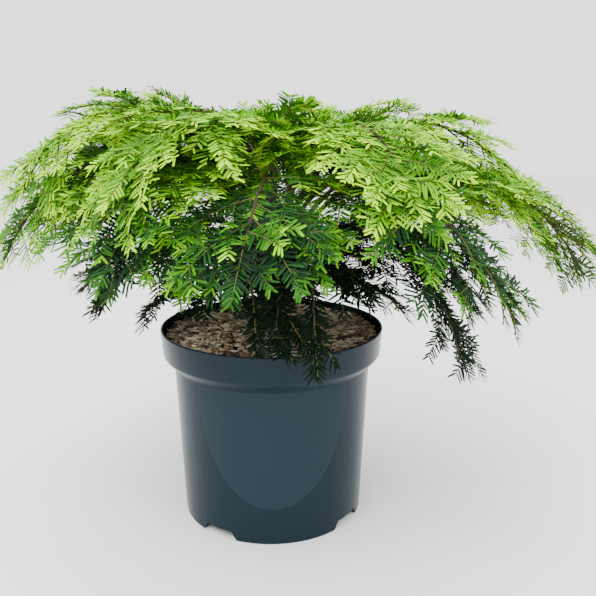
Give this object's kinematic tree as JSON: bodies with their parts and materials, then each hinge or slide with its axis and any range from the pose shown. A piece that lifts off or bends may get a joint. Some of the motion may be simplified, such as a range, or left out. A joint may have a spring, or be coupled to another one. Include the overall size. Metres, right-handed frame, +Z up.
{
  "type": "potted jeddeloh eastern hemlock",
  "caption": "Low weeping evergreen shrub with flat sprays of short needles, arching out over a round nursery pot with a stepped collar and notched foot.",
  "frame": {"origin": "middle of the pot's flat underside", "axes": "+Z up; -Y towards the front of the plant as pictured; +X to its right"},
  "size_m": [0.5119, 0.4621, 0.3782],
  "materials": {
    "pot_plastic": "satin blue-grey moulded plastic",
    "potting_soil": "dark bark mulch",
    "bark": "rough brown bark",
    "needles": "soft satin green needles"
  },
  "bodies": {
    "root": {"pot": "pot_plastic", "soil": "potting_soil", "trunk": "bark", "bough_crest_1": "bark", "foliage_crest_1": "needles", "bough_crest_2": "bark", "foliage_crest_2": "needles", "bough_crest_3": "bark", "foliage_crest_3": "needles", "bough_crest_4": "bark", "foliage_crest_4": "needles", "bough_crest_5": "bark", "foliage_crest_5": "needles", "bough_crest_6": "bark", "foliage_crest_6": "needles", "bough_crest_7": "bark", "foliage_crest_7": "needles", "foliage_heart_1": "needles", "foliage_heart_2": "needles", "foliage_heart_3": "needles", "bough_shoulder_1": "bark", "foliage_shoulder_1": "needles", "bough_shoulder_2": "bark", "foliage_shoulder_2": "needles", "bough_shoulder_3": "bark", "foliage_shoulder_3": "needles", "bough_shoulder_4": "bark", "foliage_shoulder_4": "needles", "bough_shoulder_5": "bark", "foliage_shoulder_5": "needles", "bough_shoulder_6": "bark", "foliage_shoulder_6": "needles", "bough_shoulder_7": "bark", "foliage_shoulder_7": "needles", "bough_shoulder_8": "bark", "foliage_shoulder_8": "needles", "bough_shoulder_9": "bark", "foliage_shoulder_9": "needles", "bough_shoulder_10": "bark", "foliage_shoulder_10": "needles", "bough_skirt_1": "bark", "foliage_skirt_1": "needles", "bough_skirt_2": "bark", "foliage_skirt_2": "needles", "bough_skirt_3": "bark", "foliage_skirt_3": "needles", "bough_skirt_4": "bark", "foliage_skirt_4": "needles", "bough_skirt_5": "bark", "foliage_skirt_5": "needles", "bough_skirt_6": "bark", "foliage_skirt_6": "needles", "bough_skirt_7": "bark", "foliage_skirt_7": "needles", "bough_skirt_8": "bark", "foliage_skirt_8": "needles", "foliage_inner_1": "needles", "foliage_inner_2": "needles", "foliage_inner_3": "needles", "foliage_inner_4": "needles"}
  },
  "joints": []
}
